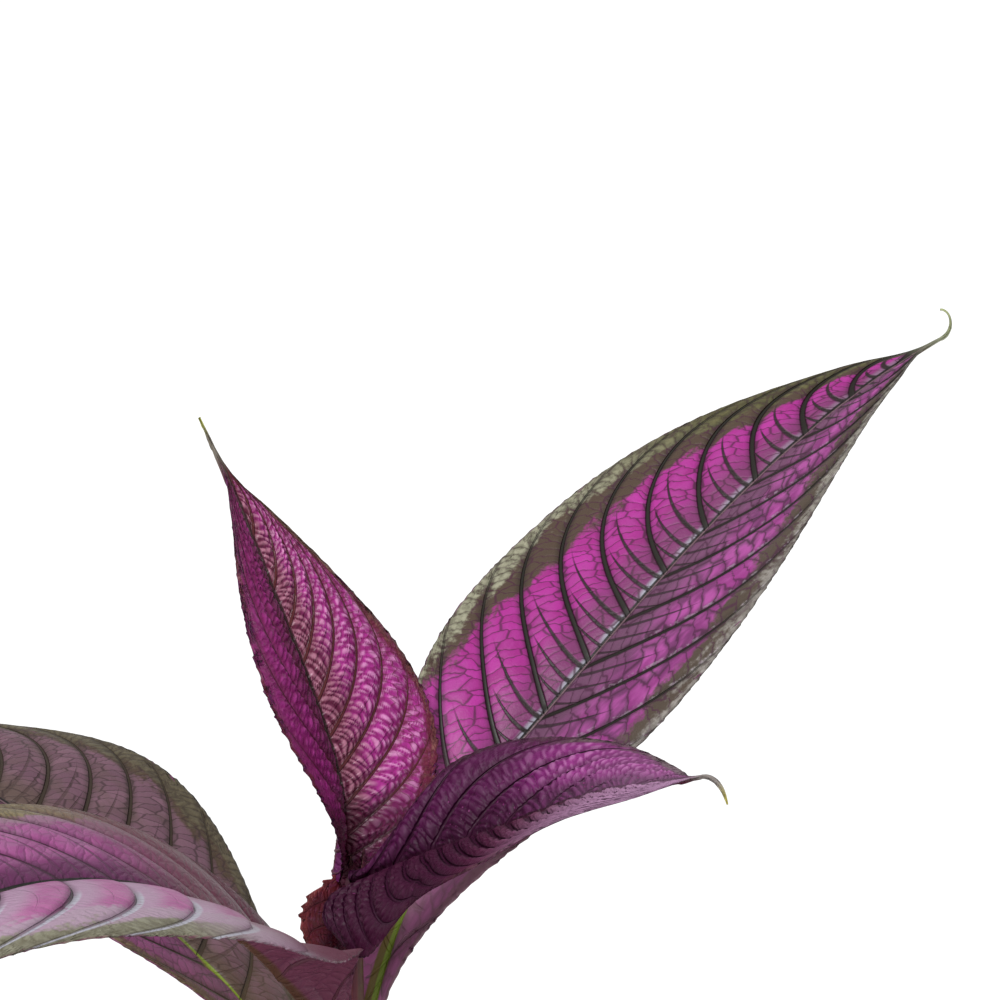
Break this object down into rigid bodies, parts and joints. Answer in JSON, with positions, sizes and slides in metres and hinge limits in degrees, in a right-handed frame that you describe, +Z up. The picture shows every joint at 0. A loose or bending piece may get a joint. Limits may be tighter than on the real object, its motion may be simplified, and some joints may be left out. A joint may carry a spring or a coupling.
{
  "type": "potted persian shield",
  "caption": "Young foliage plant in a round nursery pot: a short stem with opposite, long-pointed leaves, purple between dark sunken veins.",
  "frame": {"origin": "centre of the pot's flat underside", "axes": "+Z up along the stem; the picture looks along +Y, with +X to its right"},
  "size_m": [0.2558, 0.2445, 0.3117],
  "materials": {
    "pot": "satin",
    "soil": "matte",
    "stem": "satin",
    "grown_leaf": "satin",
    "young_leaf": "satin"
  },
  "bodies": {
    "root": {"pot": "pot", "soil": "soil", "stem": "stem", "leaf_back_right": "grown_leaf", "leaf_front_left": "grown_leaf", "leaf_back_left": "grown_leaf", "leaf_front_right": "grown_leaf", "leaf_young_left": "young_leaf", "leaf_young_right": "young_leaf", "leaf_low_right": "grown_leaf", "leaf_low_left": "grown_leaf", "leaf_first_left": "grown_leaf", "leaf_first_right": "grown_leaf"}
  },
  "joints": []
}
